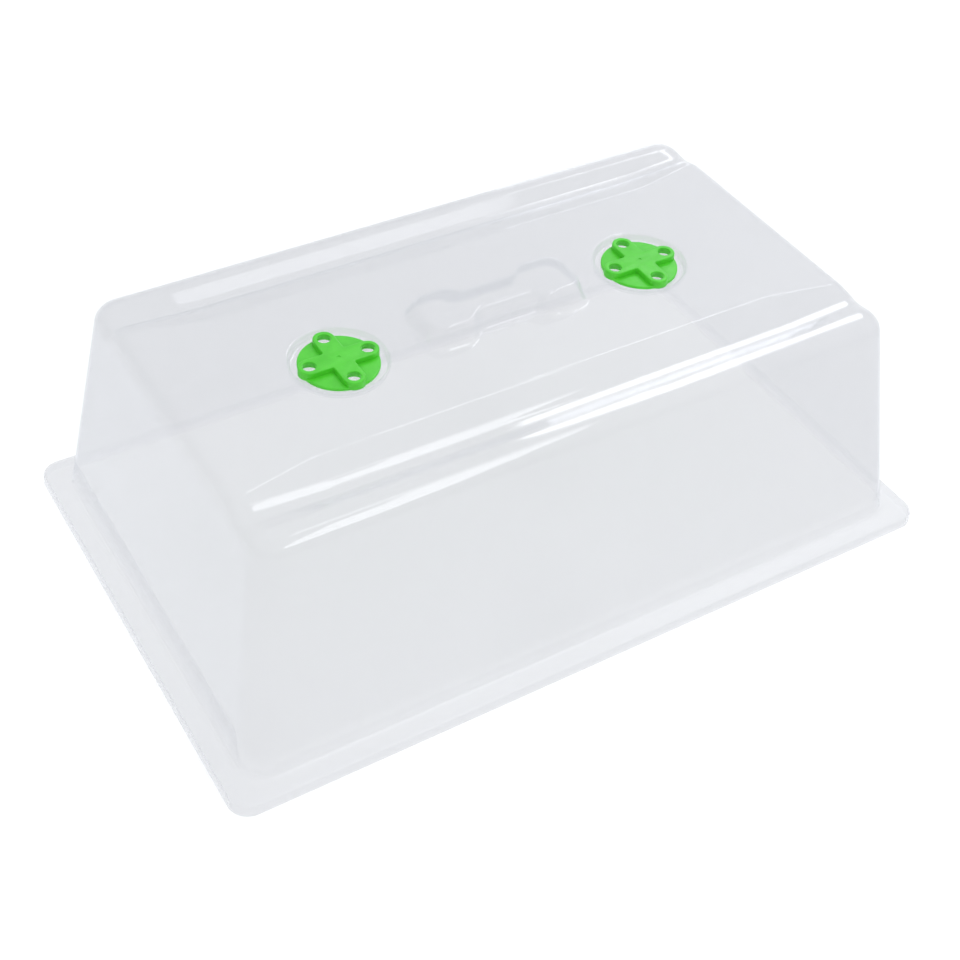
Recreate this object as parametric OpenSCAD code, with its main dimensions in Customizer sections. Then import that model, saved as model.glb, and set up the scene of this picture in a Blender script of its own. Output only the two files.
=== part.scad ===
// Humidity dome: a clear formed lid for a seed tray, with two rotary vent dials.
// Origin: centre of the footprint, on the plane that the skirt stands on.
// X runs along the length, Y across the width, Z up. Millimetres.

/* [Dome] */
// Length over the skirt
dome_length = 380; // [340:1:440]
// Width over the skirt
dome_width = 238; // [226:1:280]
// Height of the top panel above the resting plane
panel_height = 121.8; // [100:0.1:150]
// Thickness of the formed sheet
sheet = 1; // [0.8:0.1:1.4]
// How far the walls lean in, in degrees
wall_lean = 9.4; // [7:0.1:10]
// Radius of the shoulder between wall and top
shoulder_radius = 10; // [7:0.5:12]
// Plan radius of the wall corners at the top
corner_radius = 13; // [12.5:0.5:18]

/* [Rim] */
// Width of the flat ledge around the foot of the walls
ledge_width = 10.2; // [8:0.1:12]
// Height of the ledge above the resting plane
ledge_height = 5.5; // [4:0.1:8]
// Plan radius of the skirt corners
skirt_radius = 10; // [6:0.5:14]

/* [Grooves] */
// Distance of the panel edge from the centre line
panel_edge = 50.7; // [44:0.1:54]
// Distance of the panel edge from the centre line at both ends
panel_edge_end = 57.6; // [52:0.1:59]
// Length of each end over which the panel widens
flare_length = 35; // [30:1:60]
// Distance from the centre line at which the panel's flank steepens
flank_break = 63.5; // [62:0.1:64.5]
// Height at which the panel's flank steepens
flank_height = 118.2; // [117.4:0.1:120]
// Distance of the groove bottom's inner edge from the centre line
groove_inner = 66; // [65:0.1:67]
// Distance of the groove bottom's outer edge from the centre line
groove_outer = 70.6; // [69:0.1:72]
// Height of the groove bottom
groove_height = 116.4; // [112:0.1:117]
// Distance of the shoulder edge from the centre line
shoulder_edge = 77.8; // [74:0.1:79]
// How far the shoulders lie below the panel
shoulder_drop = 1.8; // [1:0.1:3]

/* [Hand grip] */
// Length of the grip at its foot
grip_length = 84; // [70:1:100]
// Width of the two grip ends at their foot
grip_width = 35; // [28:1:40]
// Width of the grip's waist at its foot
grip_waist = 21.6; // [16:0.2:26]
// Height of the grip above the panel
grip_height = 9.5; // [6:0.5:14]

/* [Vents] */
// Distance of each vent from the middle of the dome
vent_offset = 80.5; // [74:0.5:90]
// Radius of the round well that each dial sits in
well_radius = 22.1; // [21:0.1:24]
// Depth of the well
well_depth = 3.8; // [3:0.1:5]
// Radius of the dial's disc
disc_radius = 18.4; // [16:0.1:19]
// Thickness of the disc
disc_thickness = 1.5; // [1.2:0.1:2]
// Width of the arms of the raised cross
arm_width = 10.4; // [9:0.1:12]
// Height of the cross above the disc
arm_rise = 2.7; // [2:0.1:4]
// Distance of the air holes from the dial's axis
hole_offset = 14.3; // [13:0.1:15]
// Diameter of the air holes
hole_diameter = 6; // [4:0.1:7]
// Diameter of the hub hole in the well floor
hub_hole_diameter = 8; // [7:0.1:10]

/* [Hidden] */
$fn = 96;
facets = 32;
eps = 0.02;
// Gap between the dial and the faces that it slides over
slide_gap = 0.2;
// Radial clearance of the hub in its hole
hub_clearance = 0.08;
// Snap hub below the well floor
snap_height = 2;
snap_lip = 0.9;
snap_slot = 1.2;
hub_core_diameter = 4;
// Mark left by the moulding gate in the middle of each dial
gate_radius = 0.9;
gate_depth = 0.3;

half_length = dome_length / 2;
half_width = dome_width / 2;
shoulder_height = panel_height - shoulder_drop;
lean = tan(wall_lean);
// Foot of the walls, where they meet the ledge
foot_x = half_length - ledge_width;
foot_y = half_width - ledge_width;
foot_radius = corner_radius + 1;
// Centres of the rounded shoulder, placed so that the walls lean in by wall_lean
shoulder_centre = shoulder_height - shoulder_radius;
lean_in = (shoulder_centre - ledge_height) * lean + shoulder_radius / cos(wall_lean);
top_x = foot_x - lean_in;
top_y = foot_y - lean_in;
ring_radius = corner_radius - shoulder_radius;
// Ends of the raised panel, which roll over into the rounded end walls
panel_end = top_x + 1;
panel_toe = top_x + shoulder_radius * 0.85;
panel_toe_height = shoulder_centre + shoulder_radius * 0.53;
flare_start = panel_end - flare_length;
well_floor = panel_height - well_depth;
grip_end_length = grip_length * 0.27;
grip_end_radius = 8;
grip_taper = [0.92, 0.72];
dial_base = well_floor + slide_gap;
dial_height = disc_thickness + arm_rise;
hub_radius = hub_hole_diameter / 2 - hub_clearance;
hub_drop = sheet + 2 * slide_gap;

clear_sheet = [0.86, 0.89, 0.9, 0.35];
vent_green = [0.33, 0.84, 0.2];

// Flat rectangle with round corners
module rounded_rectangle(length, width, radius) {
    square([length - 2 * radius, width], center = true);
    square([length, width - 2 * radius], center = true);
    for (x = [-1, 1], y = [-1, 1])
        translate([x * (length / 2 - radius), y * (width / 2 - radius)]) circle(radius);
}

// Drafted walls with a round shoulder; inset moves every face inwards
module walls(inset) {
    foot_inset = inset / cos(wall_lean);
    hull()
        for (x = [-1, 1], y = [-1, 1]) {
            translate([x * (foot_x - foot_radius), y * (foot_y - foot_radius), ledge_height - eps])
                cylinder(r = foot_radius - foot_inset, h = eps, $fn = facets);
            translate([x * (top_x - ring_radius), y * (top_y - ring_radius), shoulder_centre])
                rotate_extrude($fn = facets) shoulder_section(shoulder_radius - inset);
        }
}

// Half cross-section of the ring that rounds one shoulder corner
module shoulder_section(radius) {
    intersection() {
        translate([ring_radius, 0]) circle(radius, $fn = facets);
        square([ring_radius + radius, radius]);
    }
    square([ring_radius, radius]);
}

// Top panel, standing a little above the shoulders
module panel(inset) {
    low = shoulder_centre;
    outline = [
        [inset - panel_toe, low],
        [inset - panel_toe, panel_toe_height - inset],
        [inset - panel_end, panel_height - inset],
        [panel_end - inset, panel_height - inset],
        [panel_toe - inset, panel_toe_height - inset],
        [panel_toe - inset, low]
    ];
    translate([0, groove_inner, 0]) rotate([90, 0, 0])
        linear_extrude(2 * groove_inner) polygon(outline);
}

// Cross-section of one groove as [y, z] points, open towards the top
function groove_section(edge, inset) = [
    [edge - 8, panel_height + 3],
    [edge, panel_height - inset],
    [flank_break, flank_height - inset],
    [groove_inner, groove_height - inset],
    [groove_outer, groove_height - inset],
    [shoulder_edge, shoulder_height - inset],
    [shoulder_edge + 2, panel_height + 3]
];

// Groove between panel and shoulder, with a flat bottom; its inner side steepens at both ends
module groove(inset) {
    stations = [-half_length, -panel_end, -flare_start, flare_start, panel_end, half_length];
    edges = [panel_edge_end, panel_edge_end, panel_edge, panel_edge, panel_edge_end, panel_edge_end];
    loft(stations, [for (edge = edges) groove_section(edge, inset)]);
}

// Solid through cross-sections of [y, z] points that stand at stations along X
module loft(stations, sections) {
    count = len(sections[0]);
    last = len(stations) - 1;
    points = [for (i = [0:last], point = sections[i]) [stations[i], point.x, point.y]];
    sides = [
        for (i = [0:last - 1], k = [0:count - 1])
            let (next = (k + 1) % count, here = i * count, there = here + count)
            [here + k, there + k, there + next, here + next]
    ];
    start = [for (k = [0:count - 1]) k];
    end = [for (k = [0:count - 1]) last * count + count - 1 - k];
    polyhedron(points, concat([start, end], sides), convexity = 4);
}

// Bone-shaped hand grip: two wide ends joined by a narrower waist
module grip(inset) {
    translate([0, 0, panel_height - inset - sheet])
        linear_extrude(grip_height + sheet, scale = grip_taper, slices = 1, $fn = facets) {
            for (side = [-1, 1])
                translate([side * (grip_length - grip_end_length) / 2, 0])
                    rounded_rectangle(grip_end_length - 2 * inset, grip_width - 2 * inset,
                                      grip_end_radius - inset);
            square([grip_length - grip_end_length, grip_waist - 2 * inset], center = true);
        }
}

// Everything that the formed sheet encloses, as a solid
module formed_body(inset) {
    difference() {
        union() {
            walls(inset);
            panel(inset);
        }
        groove(inset);
        mirror([0, 1, 0]) groove(inset);
        for (side = [-1, 1])
            translate([side * vent_offset, 0, well_floor - inset])
                cylinder(r = well_radius + inset, h = well_depth + 1);
    }
    grip(inset);
}

// Ledge and skirt around the foot of the walls, still solid
module rim() {
    linear_extrude(ledge_height) rounded_rectangle(dome_length, dome_width, skirt_radius);
}

// Space under the ledge, and the mouth of the dome
module rim_space() {
    translate([0, 0, -1]) linear_extrude(ledge_height - sheet + 1)
        rounded_rectangle(dome_length - 2 * sheet, dome_width - 2 * sheet, skirt_radius - sheet);
    translate([0, 0, ledge_height - sheet - eps]) linear_extrude(sheet + 2 * eps)
        rounded_rectangle(2 * (foot_x - sheet), 2 * (foot_y - sheet), foot_radius - sheet);
}

// Hub hole and four air holes through the floor of one well
module well_holes() {
    depth = 3 * sheet;
    translate([0, 0, -depth / 2]) {
        cylinder(d = hub_hole_diameter, h = depth);
        air_holes(depth);
    }
}

// Four holes around the vent's axis, one in line with each arm of the dial
module air_holes(depth) {
    for (turn = [0:90:270])
        rotate([0, 0, turn]) translate([hole_offset, 0, 0]) cylinder(d = hole_diameter, h = depth);
}

module dome_shell() {
    color(clear_sheet)
        difference() {
            union() {
                rim();
                formed_body(0);
            }
            rim_space();
            formed_body(sheet);
            for (side = [-1, 1])
                translate([side * vent_offset, 0, well_floor - sheet / 2]) well_holes();
        }
}

// Rotary vent dial in one moulding: disc, raised cross and snap hub; origin on its underside
module vent_dial() {
    color(vent_green)
        difference() {
            union() {
                cylinder(r = disc_radius, h = disc_thickness);
                for (turn = [0, 90]) rotate([0, 0, turn]) cross_bar();
                translate([0, 0, -hub_drop]) cylinder(r = hub_radius, h = hub_drop + eps);
                translate([0, 0, -hub_drop - snap_height])
                    cylinder(r1 = hub_radius - 0.4, r2 = hub_radius + snap_lip, h = snap_height);
            }
            translate([0, 0, -eps]) air_holes(dial_height + 2 * eps);
            translate([0, 0, dial_height - gate_depth]) cylinder(r = gate_radius, h = 1);
            hub_cuts();
        }
}

// One bar of the cross, with round ends
module cross_bar() {
    translate([-hole_offset, -arm_width / 2, 0]) cube([2 * hole_offset, arm_width, dial_height]);
    for (side = [-1, 1])
        translate([side * hole_offset, 0, 0]) cylinder(d = arm_width, h = dial_height);
}

// Hollow core and crossed slots, which let the hub's four legs spring inwards
module hub_cuts() {
    bottom = -hub_drop - snap_height - eps;
    depth = hub_drop + snap_height + eps;
    translate([0, 0, bottom]) cylinder(d = hub_core_diameter, h = depth);
    for (turn = [0, 90])
        rotate([0, 0, turn]) translate([-hub_radius - 2, -snap_slot / 2, bottom])
            cube([2 * hub_radius + 4, snap_slot, depth]);
}

module vent_dial_left() {
    translate([-vent_offset, 0, dial_base]) vent_dial();
}

module vent_dial_right() {
    translate([vent_offset, 0, dial_base]) vent_dial();
}

dome_shell();
vent_dial_left();
vent_dial_right();
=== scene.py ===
import math

import bmesh
import bpy
import numpy as np
from mathutils import Matrix, Vector
from mathutils.geometry import delaunay_2d_cdt


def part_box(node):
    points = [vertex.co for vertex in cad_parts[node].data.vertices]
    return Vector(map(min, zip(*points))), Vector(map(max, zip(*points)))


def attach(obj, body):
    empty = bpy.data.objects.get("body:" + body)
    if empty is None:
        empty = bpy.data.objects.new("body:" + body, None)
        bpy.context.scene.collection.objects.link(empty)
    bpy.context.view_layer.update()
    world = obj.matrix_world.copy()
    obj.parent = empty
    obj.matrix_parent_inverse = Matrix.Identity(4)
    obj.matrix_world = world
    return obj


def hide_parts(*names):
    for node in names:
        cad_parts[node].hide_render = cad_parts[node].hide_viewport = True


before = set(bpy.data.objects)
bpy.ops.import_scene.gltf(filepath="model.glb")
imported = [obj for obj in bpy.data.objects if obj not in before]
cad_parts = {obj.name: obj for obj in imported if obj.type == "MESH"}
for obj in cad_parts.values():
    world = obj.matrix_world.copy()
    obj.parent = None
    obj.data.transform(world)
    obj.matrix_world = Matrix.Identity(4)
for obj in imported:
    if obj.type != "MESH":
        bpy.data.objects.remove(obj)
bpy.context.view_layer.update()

MM = 0.001
SCENE = bpy.context.scene

# ---------------------------------------------------------------- dimensions, in millimetres
shell_low, shell_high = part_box("dome_shell")
dial_low, dial_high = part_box("vent_dial_right")

HALF_LENGTH = shell_high.x / MM
HALF_WIDTH = shell_high.y / MM
TOP = shell_high.z / MM
SHEET = 1.0                      # thickness of the formed sheet
VENT_X = (dial_low.x + dial_high.x) / 2 / MM

GRIP_RISE = 9.5                  # height of the hand grip above the panel
PANEL_Z = TOP - GRIP_RISE
SHOULDER_Z = PANEL_Z - 1.8
LEDGE_Z = 5.5
LEDGE_WIDTH = 10.2
SKIRT_CORNER = 10.0
SKIRT_LEAN = 0.4
EDGE_ROUND = 1.6                 # radius between ledge and skirt
FOOT_ROUND = 2.4                 # radius between wall and ledge

LEAN = math.radians(9.4)         # draft of the walls
SHOULDER_ROUND = 10.0
RING = 3.0                       # plan radius at the top of the shoulder corners
FOOT_CORNER = 14.0

FOOT_X = HALF_LENGTH - LEDGE_WIDTH
FOOT_Y = HALF_WIDTH - LEDGE_WIDTH
ROUND_Z = SHOULDER_Z - SHOULDER_ROUND
LEAN_IN = (ROUND_Z - LEDGE_Z) * math.tan(LEAN) + SHOULDER_ROUND / math.cos(LEAN)
TOP_X = FOOT_X - LEAN_IN         # edges of the flat top
TOP_Y = FOOT_Y - LEAN_IN
CORNER_X = TOP_X - RING
CORNER_Y = TOP_Y - RING

PANEL_EDGE = 50.7                # half width of the flat panel
FLARE_START = 118.0              # the panel widens from here to both ends
FLARE_SLOPE = 0.2
FLARE_BEND = 4.0                 # half width of the bend where it starts to widen
STEP_WIDTH = 0.6                 # small step that marks the panel's edge
STEP_DEPTH = 0.3
FLANK_BREAK = 63.5               # the panel's flank steepens here
BREAK_Z = PANEL_Z - 3.6
FLANK_SLOPE = 0.28               # the flank keeps this slope where the panel widens
GROOVE_INNER = 66.0
GROOVE_OUTER = 70.6
GROOVE_Z = PANEL_Z - 5.4
SHOULDER_Y = 77.8
# Half widths of the six creases' rounding, from the panel outwards
BENDS = (0.25, 0.25, 1.1, 0.7, 0.8, 0.45)

WELL_RADIUS = 22.1
WELL_DEPTH = 3.8
WELL_FLOOR = PANEL_Z - WELL_DEPTH
WELL_INSIDE = 19.8               # radius of the last ring round the well, on its floor
HUB_HOLE = 4.0
AIR_HOLE = 3.0
AIR_HOLE_AT = 14.3

# Corners of one quarter of the grip's outline, each with its rounding, at its foot and its top
GRIP_FOOT = (((42.0, 17.5), 8.5), ((20.5, 17.5), 7.0), ((15.5, 10.8), 7.0))
GRIP_TOP = (((38.8, 12.7), 7.5), ((19.5, 12.7), 6.0), ((14.5, 7.8), 6.0))
GRIP_FOOT_BEND = 2.4
GRIP_TOP_BEND = 2.8

DISC_RADIUS = 18.4
DISC_THICK = 1.5
ARM_HALF = 5.2
ARM_RISE = 2.7
HUB_RADIUS = 3.92
HUB_DROP = 1.4                   # from the disc down to the snap lip
HUB_CORE = 2.0                   # radius of the hollow in the hub
SNAP_DROP = 2.0
SNAP_LIP = 0.9
SLOT_HALF = 0.6                  # half width of the slots that split the hub
HOLLOW = 4.3                     # radius of the air holes below their lip
LIP = 1.4
HOLE_ROUND = 0.45
GATE_RADIUS = 0.8
GATE_DEPTH = 0.3
DIAL_Z = WELL_FLOOR + 0.2

# How finely the meshes are divided
CORNER_STEPS = 20                # spans round each corner of the shell
SHOULDER_STEPS = 20              # rings down the shoulder
WALL_STEPS = 10                  # rings down the wall
WELL_SIDES = 128
HOLE_SIDES = 48


# ---------------------------------------------------------------- curves
def kink(t, half):
    """Zero before t = 0 and t after it, with a round bend half wide on each side."""
    return np.where(t > half, t, np.where(t < -half, 0.0, (t + half) ** 2 / (4 * half)))


def spaced(stops):
    """Positions between (position, step) stops; each stretch keeps its own step."""
    values = [stops[0][0]]
    for (start, step), (end, _) in zip(stops, stops[1:]):
        count = max(1, round((end - start) / step))
        values += [start + (end - start) * (k + 1) / count for k in range(count)]
    return values


def bend(before, corner, after, radius, steps):
    """Arc of steps + 1 points that rounds one corner of a polyline."""
    a, b, c = (np.array(p, dtype=float) for p in (before, corner, after))
    u = (a - b) / np.linalg.norm(a - b)
    v = (c - b) / np.linalg.norm(c - b)
    half = math.acos(max(-1.0, min(1.0, float(u @ v)))) / 2
    reach = radius / math.tan(half)
    middle = (u + v) / np.linalg.norm(u + v)
    centre = b + middle * radius / math.sin(half)
    start, end = b + u * reach - centre, b + v * reach - centre
    sweep = math.pi - 2 * half
    points = []
    for k in range(steps + 1):
        t = sweep * k / steps
        points.append(centre + (start * math.sin(sweep - t) + end * math.sin(t)) / math.sin(sweep))
    return points


def rounded_path(corners, steps):
    """Open polyline through (point, radius) corners; both ends are kept sharp."""
    path = [np.array(corners[0][0], dtype=float)]
    for (before, _), (corner, radius), (after, _) in zip(corners, corners[1:], corners[2:]):
        path += bend(before, corner, after, radius, steps)
    path.append(np.array(corners[-1][0], dtype=float))
    return path


def rounded_outline(corners, steps):
    """Closed polyline through (point, radius) corners."""
    outline = []
    count = len(corners)
    for k in range(count):
        corner, radius = corners[k]
        outline += bend(corners[k - 1][0], corner, corners[(k + 1) % count][0], radius, steps)
    return np.array(outline)


def circle(centre, radius, z, sides):
    """Points of a level circle, counter-clockwise from +X."""
    x, y = centre
    return [(x + radius * math.cos(a), y + radius * math.sin(a), z)
            for a in (2 * math.pi * k / sides for k in range(sides))]


def four_fold(quarter):
    """Corners of a whole outline, counter-clockwise, from its quarter at +X and +Y."""
    right = [((x, -y), r) for (x, y), r in reversed(quarter)] + list(quarter)
    return right + [((-x, -y), r) for (x, y), r in right]


# ---------------------------------------------------------------- top of the formed sheet
def crease_places(x):
    """Distances of the six creases from the centre line; the panel widens at both ends."""
    edge = PANEL_EDGE + FLARE_SLOPE * kink(np.abs(x) - FLARE_START, FLARE_BEND)
    return edge, edge + STEP_WIDTH, FLANK_BREAK, GROOVE_INNER, GROOVE_OUTER, SHOULDER_Y


def top_z(x, y):
    """Height of the top face without its wells and grip."""
    places = crease_places(x)
    lift = FLANK_SLOPE * (places[0] - PANEL_EDGE)
    bottom = GROOVE_Z + lift
    heights = (PANEL_Z, PANEL_Z - STEP_DEPTH, BREAK_Z + lift, bottom, bottom, SHOULDER_Z)
    z = PANEL_Z
    slope = 0.0
    for k, half in enumerate(BENDS):
        after = 0.0
        if k + 1 < len(BENDS):
            after = (heights[k + 1] - heights[k]) / (places[k + 1] - places[k])
        z = z + (after - slope) * kink(np.abs(y) - places[k], half)
        slope = after
    return z


def crease_lines(x):
    """Positions across the top, at x, of all the lines that follow one side's creases."""
    margin = 0.3
    lines = []
    for place, half in zip(crease_places(x), BENDS):
        steps = (-half - margin, -half, -half / 2, 0.0, half / 2, half, half + margin)
        lines += [float(place) + t for t in steps]
    lines = sorted(lines[:-2])       # the last two are at CORNER_Y, which ends the list
    least = 0.07
    apart = [b for a, b in zip([0.0] + lines, lines) if b - a > least]
    return apart + [CORNER_Y]


def rim_walk():
    """One walk round the flat top: [share of x, share of y, corner's x, corner's y] rows."""
    xs = spaced([(-1, 0.035), (1, 1)])
    half = [0.0, 12.0, 24.0, 36.0, 44.0] + crease_lines(TOP_X)
    ys = [y / CORNER_Y for y in [-v for v in reversed(half[1:])] + half]
    turn = [math.pi / 2 * k / CORNER_STEPS for k in range(1, CORNER_STEPS)]
    quarter = [(math.sin(a), -math.cos(a)) for a in turn]
    side = [(x, -1.0, 0.0, -1.0) for x in xs] + [(1.0, -1.0, a, b) for a, b in quarter]
    end = [(1.0, y, 1.0, 0.0) for y in ys] + [(1.0, 1.0, -b, a) for a, b in quarter]
    half_walk = np.array(side + end)
    return np.concatenate([half_walk, -half_walk])


class Top:
    """Points of the top and the lines between them that its triangles must keep."""

    def __init__(self):
        self.points = []
        self.edges = []
        self.loops = {}

    def line(self, points, closed=False, first=None, last=None):
        """Adds a line; first and last are the indices of end points that exist already."""
        start = len(self.points)
        self.points += [tuple(p) for p in points]
        ids = list(range(start, len(self.points)))
        if first is not None:
            ids = [first] + ids + [last]
        self.edges += list(zip(ids, ids[1:] + ids[:1] if closed else ids[1:]))
        return ids


def add_creases(top, rim):
    """Lines along the panel's edges, the grooves' bottoms and the shoulders' edges."""
    reach = TOP_X
    flare = FLARE_START - FLARE_BEND - 1
    fine, coarse = 2.0, 12.0
    xs = spaced([(-reach, fine), (-flare, coarse), (flare, fine), (reach, 1)])[1:-1]
    by_place = {(round(x, 3), round(y, 3)): k for k, (x, y) in enumerate(rim)}
    for side in (-1, 1):
        rows = [crease_lines(x) for x in xs]
        for n, y_end in enumerate(crease_lines(reach)):
            line = [(x, side * row[n], float(top_z(x, row[n]))) for x, row in zip(xs, rows)]
            first, last = (by_place[(round(s * reach, 3), round(side * y_end, 3))] for s in (-1, 1))
            top.line(line, first=first, last=last)


def add_well(top, centre):
    """Rings of one vent's well, and its hub hole and four air holes."""
    section = rounded_path([((WELL_RADIUS + 2.2, PANEL_Z), 0), ((WELL_RADIUS + 0.2, PANEL_Z), 1.2),
                            ((WELL_RADIUS - 0.7, WELL_FLOOR), 0.8),
                            ((WELL_INSIDE, WELL_FLOOR), 0)], 7)
    for r, z in section:
        top.line(circle((centre, 0.0), r, z, WELL_SIDES), closed=True)
    places = [(centre, 0.0, HUB_HOLE)]
    for quarter in range(4):
        a = quarter * math.pi / 2
        places.append((centre + AIR_HOLE_AT * math.cos(a), AIR_HOLE_AT * math.sin(a), AIR_HOLE))
    for x, y, radius in places:
        ring = circle((x, y), radius, WELL_FLOOR, HOLE_SIDES)
        top.loops[(x, y, radius)] = top.line(ring, closed=True)


def add_grip(top):
    """Rings from the foot of the hand grip up to its flat top."""
    foot = rounded_outline(four_fold(GRIP_FOOT), 12)
    head = rounded_outline(four_fold(GRIP_TOP), 12)
    rings = []
    for start, end in zip(foot, head):
        inward = end - start
        reach = float(np.linalg.norm(inward))
        section = rounded_path([((-2.0, PANEL_Z), 0), ((0.0, PANEL_Z), GRIP_FOOT_BEND),
                                ((reach, TOP), GRIP_TOP_BEND), ((reach + 2.6, TOP), 0)], 10)
        rings.append([(*(start + inward / reach * s), z) for s, z in section])
    for ring in zip(*rings):
        top.line(ring, closed=True)


def triangles(top):
    """Delaunay triangles between the top's points, with the holes left open."""
    flat = [Vector(p[:2]) for p in top.points]
    made = delaunay_2d_cdt(flat, top.edges, [], 0, 1e-5)
    back = [origins[0] for origins in made[3]]
    faces = []
    for face in made[2]:
        middle = sum((made[0][v] for v in face), Vector((0, 0))) / len(face)
        if any(math.hypot(middle.x - x, middle.y - y) < r for x, y, r in top.loops):
            continue
        a, b, c = (made[0][v] for v in face)
        ids = [back[v] for v in face]
        faces.append(ids if (b - a).cross(c - a) > 0 else ids[::-1])
    return faces


# ---------------------------------------------------------------- walls and skirt
def wall_rings():
    """Rings below the flat top: (corner x, corner y, radius, z, share of the top's relief)."""
    turn = math.pi / 2 - LEAN
    rings = []
    for k in range(1, SHOULDER_STEPS + 1):
        a = turn * k / SHOULDER_STEPS
        left = (math.cos(a) - math.cos(turn)) / (1 - math.cos(turn))
        rings.append((CORNER_X, CORNER_Y, RING + SHOULDER_ROUND * math.sin(a),
                      ROUND_Z + SHOULDER_ROUND * math.cos(a), max(left, 0.0) ** 1.5))
    above = rings[-1]
    below = (FOOT_X - FOOT_CORNER, FOOT_Y - FOOT_CORNER, FOOT_CORNER, LEDGE_Z, 0.0)
    reach = FOOT_ROUND * math.tan(turn / 2)
    share = 1 - reach * math.cos(LEAN) / (above[3] - LEDGE_Z)
    for k in range(1, WALL_STEPS + 1):
        rings.append(tuple(a + (b - a) * share * k / WALL_STEPS for a, b in zip(above, below)))
    rise = 20                        # any point up the wall gives the section its direction
    section = rounded_path([((-rise * math.tan(LEAN), LEDGE_Z + rise), 0),
                            ((0, LEDGE_Z), FOOT_ROUND),
                            ((LEDGE_WIDTH - SKIRT_LEAN, LEDGE_Z), EDGE_ROUND),
                            ((LEDGE_WIDTH, 0), 0)], 8)[2:]
    rim = (HALF_LENGTH - SKIRT_CORNER, HALF_WIDTH - SKIRT_CORNER, SKIRT_CORNER)
    for out, z in section:
        if out < LEDGE_WIDTH / 2:
            rings.append((below[0], below[1], FOOT_CORNER + out, z, 0.0))
        else:
            rings.append((rim[0], rim[1], rim[2] + out - LEDGE_WIDTH, z, 0.0))
    return rings


def outer_face():
    """Points and faces of the sheet's outer face, and the loops where it ends."""
    top = Top()
    walk = rim_walk()
    rim = walk[:, :2] * (CORNER_X, CORNER_Y) + walk[:, 2:] * RING
    loop = top.line([(x, y, float(top_z(x, y))) for x, y in rim], closed=True)
    add_creases(top, rim)
    add_grip(top)
    for side in (-1, 1):
        add_well(top, side * VENT_X)
    faces = triangles(top)
    points = [np.array(top.points)]
    relief = points[0][loop, 2] - SHOULDER_Z
    around = len(loop)
    base = len(top.points)
    for cx, cy, radius, z, share in wall_rings():
        xy = walk[:, :2] * (cx, cy) + walk[:, 2:] * radius
        points.append(np.column_stack([xy, z + relief * share]))
        here = [base + k for k in range(around)]
        for k in range(around):
            n = (k + 1) % around
            faces.append((loop[k], here[k], here[n], loop[n]))
        loop = here
        base += around
    return np.concatenate(points), faces, [loop] + list(top.loops.values())


def point_normals(points, faces):
    """Unit normals of the points, weighted by the areas of the faces round them."""
    normals = np.zeros_like(points)
    for count in (3, 4):
        group = np.array([f for f in faces if len(f) == count])
        first = points[group[:, 2]] - points[group[:, 0]]
        second = points[group[:, count - 1]] - points[group[:, 1]]
        across = np.cross(first, second)
        for column in range(count):
            np.add.at(normals, group[:, column], across)
    return normals / np.linalg.norm(normals, axis=1, keepdims=True)


def new_object(name, points, faces, smooth_angle=35):
    """Closed mesh object in metres, with its normals turned outwards."""
    mesh = bpy.data.meshes.new(name)
    mesh.from_pydata([tuple(p) for p in points], [], [tuple(f) for f in faces])
    edit = bmesh.new()
    edit.from_mesh(mesh)
    bmesh.ops.recalc_face_normals(edit, faces=edit.faces)
    edit.to_mesh(mesh)
    edit.free()
    obj = bpy.data.objects.new(name, mesh)
    SCENE.collection.objects.link(obj)
    smooth(obj, smooth_angle)
    return obj


def smooth(obj, angle):
    """Shades smoothly, apart from edges sharper than angle, in degrees."""
    obj.data.polygons.foreach_set("use_smooth", [True] * len(obj.data.polygons))
    obj.data.set_sharp_from_angle(angle=math.radians(angle))


def build_shell():
    """Formed sheet as one closed mesh: its outer face, and its inner face one sheet in."""
    points, faces, loops = outer_face()
    inner = points - SHEET * point_normals(points, faces)
    inner[loops[0], 2] = 0.0
    count = len(points)
    walls = list(faces) + [[count + v for v in reversed(f)] for f in faces]
    for loop in loops:
        for a, b in zip(loop, loop[1:] + loop[:1]):
            walls.append((a, count + a, count + b, b))
    return new_object("dome_sheet", np.concatenate([points, inner]) * MM, walls, 50)


# ---------------------------------------------------------------- vent dials
def turned(name, path, centre=(0.0, 0.0), sides=96):
    """Solid of revolution about Z through (radius, z) points; it starts and ends on the axis."""
    points, rows = [], []
    for r, z in path:
        if r < 1e-6:
            rows.append([len(points)] * sides)
            points.append((centre[0], centre[1], z))
            continue
        rows.append(list(range(len(points), len(points) + sides)))
        points += circle(centre, r, z, sides)
    faces = []
    for low, high in zip(rows, rows[1:]):
        for k in range(sides):
            n = (k + 1) % sides
            corners = [low[k], low[n], high[n], high[k]]
            faces.append(list(dict.fromkeys(corners)))
    return new_object(name, np.array(points) * MM, faces)


def join(obj, other, operation):
    """Applies one boolean with another solid, and removes that solid."""
    modifier = obj.modifiers.new("join", "BOOLEAN")
    modifier.operation = operation
    modifier.object = other
    modifier.solver = "MANIFOLD"
    bpy.context.view_layer.update()
    shown = obj.evaluated_get(bpy.context.evaluated_depsgraph_get())
    made = bpy.data.meshes.new_from_object(shown)
    obj.modifiers.clear()
    obj.data = made
    bpy.data.objects.remove(other)


def cross_outline(inset):
    """Outline of the raised cross: four arms with round ends and small inner fillets."""
    half, reach = ARM_HALF - inset, AIR_HOLE_AT + ARM_HALF - inset
    end = half * 0.98                # just under half, so that an arm's two end arcs don't meet
    arm = [((half, -half), 1.0 + inset), ((reach, -half), end), ((reach, half), end)]
    corners = []
    for quarter in range(4):
        c, s = round(math.cos(quarter * math.pi / 2)), round(math.sin(quarter * math.pi / 2))
        corners += [((x * c - y * s, x * s + y * c), r) for (x, y), r in arm]
    return rounded_outline(corners, 12)


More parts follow.
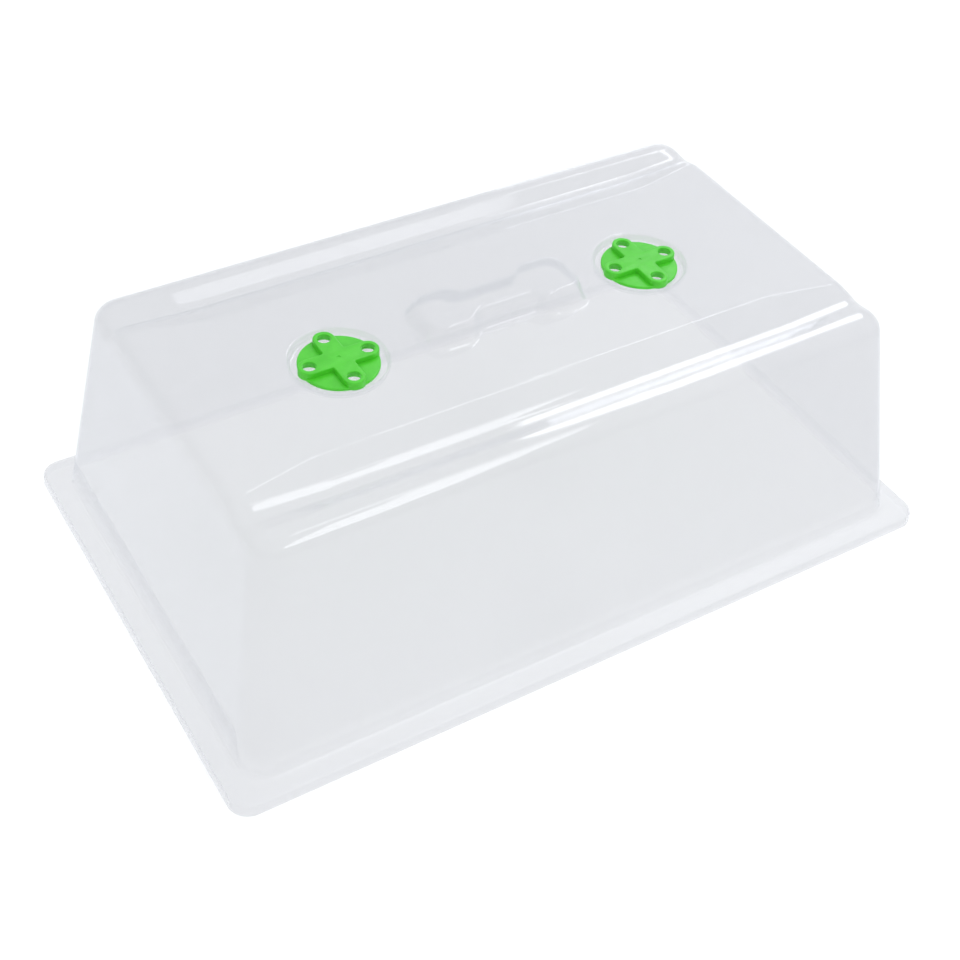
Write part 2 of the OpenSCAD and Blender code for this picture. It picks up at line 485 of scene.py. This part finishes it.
def build_cross():
    """Solid raised cross, with a small bevel round its top."""
    section = rounded_path([((2.0, 0.0), 0), ((0.0, 0.0), 0.3), ((0.15, DISC_THICK + ARM_RISE), 0.6),
                            ((2.0, DISC_THICK + ARM_RISE), 0)], 6)[1:-1]
    points = []
    for inset, z in section:
        points += [(x, y, z) for x, y in cross_outline(inset)]
    around = len(points) // len(section)
    faces = [list(range(around)), list(range(len(points) - around, len(points)))]
    for row in range(len(section) - 1):
        base = row * around
        for k in range(around):
            n = (k + 1) % around
            faces.append((base + k, base + n, base + around + n, base + around + k))
    return new_object("cross", np.array(points) * MM, faces)


def box(name, low, high):
    """Plain box between two corners."""
    corners = [(x, y, z) for x in (low[0], high[0]) for y in (low[1], high[1])
               for z in (low[2], high[2])]
    faces = [(0, 1, 3, 2), (4, 6, 7, 5), (0, 4, 5, 1), (2, 3, 7, 6), (0, 2, 6, 4), (1, 5, 7, 3)]
    return new_object(name, np.array(corners) * MM, faces)


def build_dial(name, centre):
    """Vent dial in one piece: rounded disc, raised cross, air holes and split snap hub."""
    top = DISC_THICK + ARM_RISE
    disc = turned(name, rounded_path([((0, 0), 0), ((DISC_RADIUS, 0), 0.3),
                                      ((DISC_RADIUS, DISC_THICK), 0.5), ((0, DISC_THICK), 0)], 5))
    join(disc, build_cross(), "UNION")
    bottom = -HUB_DROP - SNAP_DROP
    hub = [((0, bottom), 0), ((HUB_RADIUS - 0.4, bottom), 0.3),
           ((HUB_RADIUS + SNAP_LIP, -HUB_DROP), 0.25), ((HUB_RADIUS, -HUB_DROP), 0.1),
           ((HUB_RADIUS, 0.5), 0.1), ((0, 0.5), 0)]
    join(disc, turned("hub", rounded_path(hub, 4)), "UNION")
    core = [(0, bottom - 1), (HUB_CORE, bottom - 1), (HUB_CORE, 0.0), (1.2, 0.6), (0, 0.6)]
    join(disc, turned("core", core, sides=48), "DIFFERENCE")
    past = HUB_RADIUS + SNAP_LIP + 1
    for across in ((past, SLOT_HALF), (SLOT_HALF, past)):
        slot = box("slot", (-across[0], -across[1], bottom - 1), (across[0], across[1], -0.02))
        join(disc, slot, "DIFFERENCE")
    hole = rounded_path([((0, -1), 0), ((HOLLOW, -1), 0.01), ((HOLLOW, top - LIP), 0.3),
                         ((AIR_HOLE, top - LIP), 0.01), ((AIR_HOLE, top), HOLE_ROUND),
                         ((AIR_HOLE + 1.5, top), 0.01), ((AIR_HOLE + 1.5, top + 1), 0.01),
                         ((0, top + 1), 0)], 5)
    for quarter in range(4):
        a = quarter * math.pi / 2
        place = (AIR_HOLE_AT * math.cos(a), AIR_HOLE_AT * math.sin(a))
        join(disc, turned("hole", hole, place, 64), "DIFFERENCE")
    gate = rounded_path([((0, top - GATE_DEPTH), 0), ((GATE_RADIUS, top - GATE_DEPTH), 0.15),
                         ((GATE_RADIUS + 0.2, top + 1), 0.1), ((0, top + 1), 0)], 3)
    join(disc, turned("gate", gate, sides=32), "DIFFERENCE")
    disc.data.transform(Matrix.Translation(Vector((centre, 0, DIAL_Z)) * MM))
    smooth(disc, 35)
    return disc


# ---------------------------------------------------------------- materials
class Nodes:
    """Short way to build the nodes of a new material, or of the world."""

    def __init__(self, owner, output="ShaderNodeOutputMaterial"):
        self.owner = owner
        self.owner.use_nodes = True
        self.tree = self.owner.node_tree
        self.tree.nodes.clear()
        self.output = self.add(output)

    def add(self, kind, inputs=None, **settings):
        """New node; inputs maps socket names or numbers to values or to other nodes' outputs."""
        made = self.tree.nodes.new(kind)
        for key, value in settings.items():
            setattr(made, key, value)
        for key, value in (inputs or {}).items():
            if isinstance(value, bpy.types.NodeSocket):
                self.tree.links.new(value, made.inputs[key])
            else:
                made.inputs[key].default_value = value
        return made

    def math(self, operation, a, b=0.0, c=0.0):
        return self.add("ShaderNodeMath", {0: a, 1: b, 2: c}, operation=operation).outputs[0]

    def place(self, space="Object"):
        return self.add("ShaderNodeTexCoord").outputs[space]

    def noise(self, scale, detail=2.0):
        values = {"Vector": self.place(), "Scale": scale, "Detail": detail, "Roughness": 0.5}
        return self.add("ShaderNodeTexNoise", values).outputs["Fac"]

    def spread(self, value, low, high, start=0.3, end=0.7, **settings):
        """Runs from low to high while value goes from start to end."""
        values = {0: value, 1: start, 2: end, 3: low, 4: high}
        return self.add("ShaderNodeMapRange", values, **settings).outputs[0]

    def blend(self, factor, a, b):
        """Colour a where factor is 0, and colour b where it is 1."""
        return self.add("ShaderNodeMix", {0: factor, 6: a, 7: b}, data_type="RGBA").outputs[2]

    def bump(self, height, distance):
        values = {"Height": height, "Distance": distance, "Strength": 1.0}
        return self.add("ShaderNodeBump", values).outputs["Normal"]

    def finish(self, shader):
        self.tree.links.new(shader, self.output.inputs["Surface"])
        return self.owner


# Light that one sheet lets through; the tint of the sheet seen first is partly painted shade
# Painted shade: the dome casts next to no shade on the floor inside it, so the first sheet's tint is
# darker than the sheet alone, standing in for that shade as well as for its own tint
WALL_TINT_AND_SHADE = (0.856, 0.856, 0.864, 1)     # the sheet that is seen first
RIM_TINT_AND_SHADE = (0.875, 0.875, 0.883, 1)      # the same on the ledge and the skirt
DEEP_TINT = (0.968, 0.969, 0.974, 1)     # each sheet behind it
FAINT_TINT = (0.99, 0.99, 0.992, 1)      # each rim sheet behind it, and any sheet for a lamp's ray
EDGE_TINT = (0.77, 0.775, 0.79, 1)       # where it is seen edge on

SHEET_SHINE = 0.05               # roughness of the sheet
LEDGE_SHINE = 0.38               # roughness of the ledge and the skirt
SHEET_MIRROR = 0.045             # share of the light that mirrors when seen straight on
EDGE_MIRROR = 0.7                # how much more of it mirrors edge on
DEEP_MIRROR = 0.35               # how much of that share the sheets behind the first keep
RIM_MIRROR = 0.1                 # the same on the ledge and the skirt


def above_ledge(n, low, high, start, end):
    """Value that runs from low to high between two heights above the ledge, in millimetres."""
    height = n.add("ShaderNodeSeparateXYZ", {0: n.place()}).outputs["Z"]
    return n.spread(height, low, high, (LEDGE_Z + start) * MM, (LEDGE_Z + end) * MM)


def clear_sheet():
    """Clear formed plastic, where the sheet that is seen first tints more than those behind it. That
    first tint is partly painted shade: lamps' rays pass almost untinted, so the shade the dome would
    cast on the floor is carried by the first sheet instead.
    """
    n = Nodes(bpy.data.materials.new("clear_sheet"))
    facing = n.add("ShaderNodeLayerWeight", {"Blend": 0.5}).outputs["Facing"]
    path = n.add("ShaderNodeLightPath").outputs
    lamp = n.math("MAXIMUM", path["Is Shadow Ray"], path["Is Diffuse Ray"])
    seen = n.math("SUBTRACT", 1.0, lamp)
    first = n.math("MULTIPLY", seen, n.math("LESS_THAN", path["Transparent Depth"], 1.5))
    rim = above_ledge(n, 1.0, 0.0, 2.5, 12.5)

    deep_tint = n.blend(lamp, n.blend(rim, DEEP_TINT, FAINT_TINT), FAINT_TINT)
    # Painted shade: the first sheet's tint stands in both for the sheet's own tint and for the shade
    # that lamps' rays, passing almost untinted, leave off the floor
    tint_and_shade = n.blend(first, deep_tint, n.blend(rim, WALL_TINT_AND_SHADE, RIM_TINT_AND_SHADE))
    wall = n.math("MULTIPLY", first, n.math("SUBTRACT", 1.0, rim))
    edge = n.math("MULTIPLY", n.math("POWER", facing, 5.0), wall)
    clear = n.add("ShaderNodeBsdfTransparent", {"Color": n.blend(edge, tint_and_shade, EDGE_TINT)}).outputs[0]

    shine = above_ledge(n, LEDGE_SHINE, SHEET_SHINE, 0.2, 1.1)
    normal = n.bump(n.noise(22.0, 1.0), 0.00025)
    values = {"Color": (0.97, 0.98, 1.0, 1), "Roughness": shine, "Normal": normal}
    gloss = n.add("ShaderNodeBsdfAnisotropic", values).outputs[0]
    mirror = n.math("MULTIPLY_ADD", n.math("POWER", facing, 4.0), EDGE_MIRROR, SHEET_MIRROR)
    kept = n.math("MULTIPLY_ADD", rim, RIM_MIRROR - DEEP_MIRROR, DEEP_MIRROR)
    deep = n.math("MULTIPLY", n.math("SUBTRACT", seen, first), kept)
    mirror = n.math("MULTIPLY", mirror, n.math("ADD", first, deep))
    body = n.add("ShaderNodeMixShader", {0: mirror, 1: clear, 2: gloss}).outputs[0]

    milk = n.add("ShaderNodeBsdfDiffuse", {"Color": (0.8, 0.82, 0.84, 1)}).outputs[0]
    haze = n.math("MULTIPLY", n.spread(n.noise(9.0), 0.012, 0.03), first)
    return n.finish(n.add("ShaderNodeMixShader", {0: haze, 1: body, 2: milk}).outputs[0])


def vent_green():
    """Bright green moulded plastic, satin, with a faint mottle."""
    n = Nodes(bpy.data.materials.new("vent_green"))
    mottle = n.spread(n.noise(160.0, 3.0), 0.0, 1.0)
    colour = n.blend(mottle, (0.056, 0.51, 0.016, 1), (0.074, 0.58, 0.025, 1))
    rough = n.spread(n.noise(420.0, 2.0), 0.3, 0.42)
    normal = n.bump(n.noise(900.0, 2.0), 0.00004)
    values = {"Base Color": colour, "Roughness": rough, "Normal": normal, "IOR": 1.49,
              "Subsurface Weight": 0.08, "Subsurface Radius": (0.2, 1.0, 0.15),
              "Subsurface Scale": 0.002}
    return n.finish(n.add("ShaderNodeBsdfPrincipled", values).outputs[0])


def floor_white():
    """Plain pale floor with hardly any variation."""
    n = Nodes(bpy.data.materials.new("floor_white"))
    tone = n.spread(n.noise(3.0), 0.9, 0.92)
    colour = n.add("ShaderNodeCombineColor", {0: tone, 1: tone, 2: tone}).outputs[0]
    return n.finish(n.add("ShaderNodeBsdfDiffuse", {"Color": colour}).outputs[0])


def paint(obj, material):
    """Gives the whole object one material."""
    obj.data.materials.clear()
    obj.data.materials.append(material)


# ---------------------------------------------------------------- stage
CAMERA_AT = (-0.3229, -0.4735, 0.5578)
CAMERA_AZIMUTH = math.radians(-34.18)
CAMERA_ELEVATION = math.radians(43.59)
CAMERA_ROLL = math.radians(4.53)
CAMERA_LENS = 58.82

HORIZON = 0.85                   # light of the studio near the floor
OVERHEAD = 0.24                  # how much brighter the studio is overhead
SIDE = 0.3                       # how much brighter it is towards +X
FAR = 4.0                        # height of the level softboxes above the dome's top, in metres
FLOOR_HALF = 6.0
FLOOR_GAP = 0.0003               # the floor lies this far below the skirt


def add_floor():
    """Plain floor that the dome stands on."""
    mesh = bpy.data.meshes.new("floor")
    corners = [(-1, -1), (1, -1), (1, 1), (-1, 1)]
    mesh.from_pydata([(x * FLOOR_HALF, y * FLOOR_HALF, 0) for x, y in corners], [], [(0, 1, 2, 3)])
    floor = bpy.data.objects.new("floor", mesh)
    floor.location.z = -FLOOR_GAP
    SCENE.collection.objects.link(floor)
    paint(floor, floor_white())


def softbox(name, place, aim, width, height, radiance):
    """Rectangular area light at place, facing aim; width is level, height across it."""
    light = bpy.data.lights.new(name, "AREA")
    light.shape = "RECTANGLE"
    light.size, light.size_y = width, height
    light.energy = radiance * math.pi * width * height
    obj = bpy.data.objects.new(name, light)
    obj.location = place
    obj.rotation_euler = (Vector(aim) - Vector(place)).to_track_quat("-Z", "Y").to_euler()
    SCENE.collection.objects.link(obj)


def add_world():
    """Pale studio that brightens softly overhead and towards +X."""
    n = Nodes(bpy.data.worlds.new("studio"), "ShaderNodeOutputWorld")
    direction = n.add("ShaderNodeSeparateXYZ", {0: n.place("Generated")}).outputs
    overhead = n.spread(direction["Z"], 0.0, OVERHEAD, 0.3, 0.7, interpolation_type="SMOOTHSTEP")
    side = n.spread(direction["X"], 0.0, SIDE, 0.4, 0.7, interpolation_type="SMOOTHSTEP")
    strength = n.math("ADD", n.math("ADD", overhead, side), HORIZON)
    values = {"Color": (0.97, 0.985, 1.0, 1), "Strength": strength}
    SCENE.world = n.finish(n.add("ShaderNodeBackground", values).outputs[0])


def add_camera():
    """Camera at the three-quarter angle from above, with a slight roll."""
    flat = math.cos(CAMERA_ELEVATION)
    back = Vector((math.sin(CAMERA_AZIMUTH) * flat, -math.cos(CAMERA_AZIMUTH) * flat,
                   math.sin(CAMERA_ELEVATION)))
    right = Vector((0, 0, 1)).cross(back).normalized()
    up = back.cross(right)
    c, s = math.cos(CAMERA_ROLL), math.sin(CAMERA_ROLL)
    rolled = (right * c + up * s, up * c - right * s, back)
    camera = bpy.data.cameras.new("camera")
    camera.lens = CAMERA_LENS
    camera.sensor_width = 36
    camera.clip_start = 0.01
    obj = bpy.data.objects.new("camera", camera)
    obj.matrix_world = Matrix.Translation(CAMERA_AT) @ Matrix(rolled).transposed().to_4x4()
    SCENE.collection.objects.link(obj)
    SCENE.camera = obj


def level_softbox(name, x, y, radiance):
    """Softbox facing straight down; x and y are its edges as shares of its height."""
    place = (sum(x) / 2 * FAR, sum(y) / 2 * FAR, FAR + TOP * MM)
    aim = (place[0], place[1], 0)
    softbox(name, place, aim, (x[1] - x[0]) * FAR, (y[1] - y[0]) * FAR, radiance)


def add_lights():
    """Two groups of boxes that the grooves' slopes mirror, and a weak one low behind the dome."""
    level_softbox("key", (0.66, 0.78), (0.42, 0.93), 4.0)
    level_softbox("key_middle", (0.78, 0.90), (0.56, 0.93), 4.0)
    level_softbox("key_end", (0.90, 1.15), (0.72, 0.93), 4.0)
    level_softbox("strip", (0.365, 0.545), (-1.15, -0.1), 2.4)
    level_softbox("strip_end", (0.315, 0.365), (-1.15, -0.3), 2.4)
    level_softbox("strip_head", (0.26, 0.545), (-0.1, 0.09), 1.2)
    softbox("horizon", (0.66, 0.92, 0.1), (0, 0, 0.1), 0.3, 0.2, 1.3)


# ---------------------------------------------------------------- assembly
dome = build_shell()
paint(dome, clear_sheet())
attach(dome, "dome")
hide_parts("dome_shell")

green = vent_green()
for side, name in ((-1, "left"), (1, "right")):
    dial = build_dial(name + "_vent_dial", side * VENT_X)
    paint(dial, green)
    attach(dial, name + "_dial")
    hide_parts("vent_dial_" + name)

add_floor()
add_world()
add_lights()
add_camera()
SCENE.view_settings.view_transform = "Standard"
SCENE.cycles.transparent_max_bounces = 32
SCENE.cycles.max_bounces = 12
